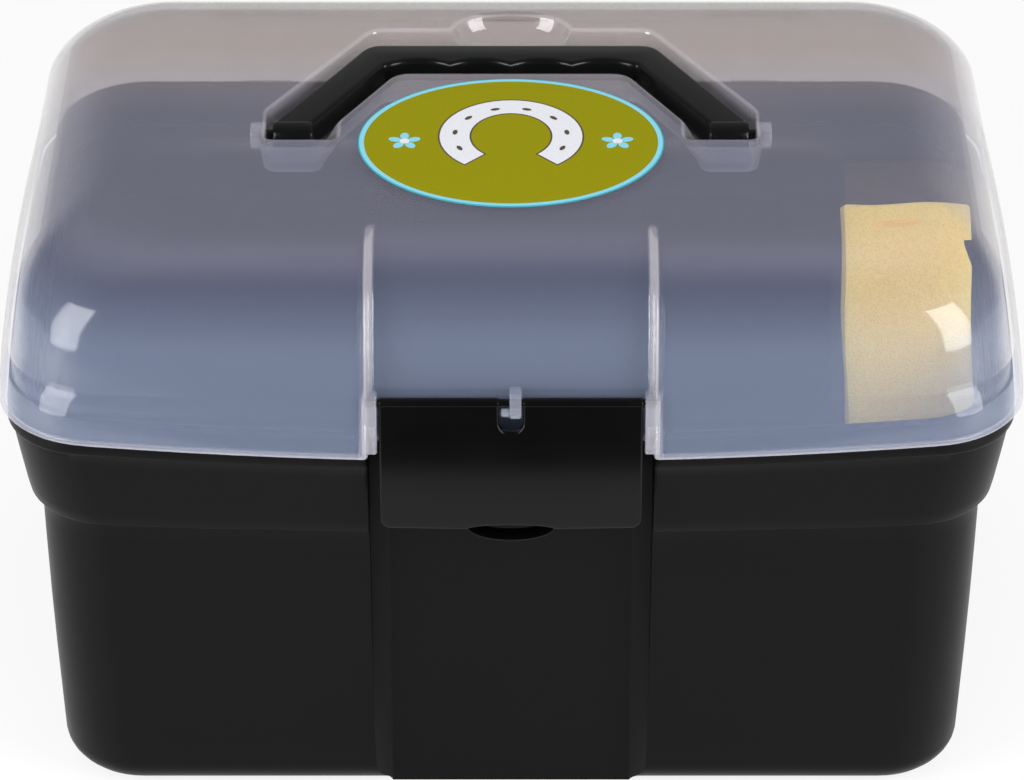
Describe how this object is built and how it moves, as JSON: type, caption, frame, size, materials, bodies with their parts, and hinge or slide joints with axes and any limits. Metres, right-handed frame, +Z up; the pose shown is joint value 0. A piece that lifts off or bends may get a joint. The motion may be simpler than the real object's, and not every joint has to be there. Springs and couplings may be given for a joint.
{
  "type": "grooming box",
  "caption": "Carry box for horse grooming kit: flared moulded tub, frosted domed lid on a rear hinge, folding bail handle, hooked front latch, lift-out tray and sponge",
  "frame": {"origin": "the middle of the flat base, on the surface that the box stands on", "axes": "+X to the right seen from the latch side, +Y to the back where the hinge is, +Z up"},
  "size_m": [0.308, 0.2147, 0.1863],
  "materials": {
    "tub_plastic": "black injection-moulded polypropylene, satin gloss",
    "lid_plastic": "frosted natural polypropylene, glossy outside",
    "latch_plastic": "black injection-moulded polypropylene, glossy",
    "handle_plastic": "black injection-moulded polypropylene, satin",
    "pin_steel": "drawn steel rod",
    "tray_plastic": "black injection-moulded polypropylene, satin",
    "sponge_foam": "open-cell foam with fine pores",
    "label_vinyl": "printed vinyl, lime ground with a pale blue border"
  },
  "bodies": {
    "tub": {"tub": "tub_plastic", "hinge_pin_left": "pin_steel", "hinge_pin_right": "pin_steel", "tray": "tray_plastic", "sponge": "sponge_foam"},
    "lid": {"lid": "lid_plastic", "label": "label_vinyl"},
    "latch": {"latch": "latch_plastic"},
    "handle": {"handle": "handle_plastic"}
  },
  "joints": [
    {"name": "lid_hinge", "type": "hinge", "parent": "tub", "child": "lid", "pos_m": [0, 0.1065, 0.1335], "axis": [-1, 0, 0], "range_deg": [0, 105]},
    {"name": "latch_hinge", "type": "hinge", "parent": "lid", "child": "latch", "pos_m": [0, -0.1008, 0.1473], "axis": [-1, 0, 0], "range_deg": [0, 120]},
    {"name": "handle_hinge", "type": "hinge", "parent": "lid", "child": "handle", "pos_m": [0, -0.004, 0.1811], "axis": [1, 0, 0], "range_deg": [0, 90]}
  ]
}
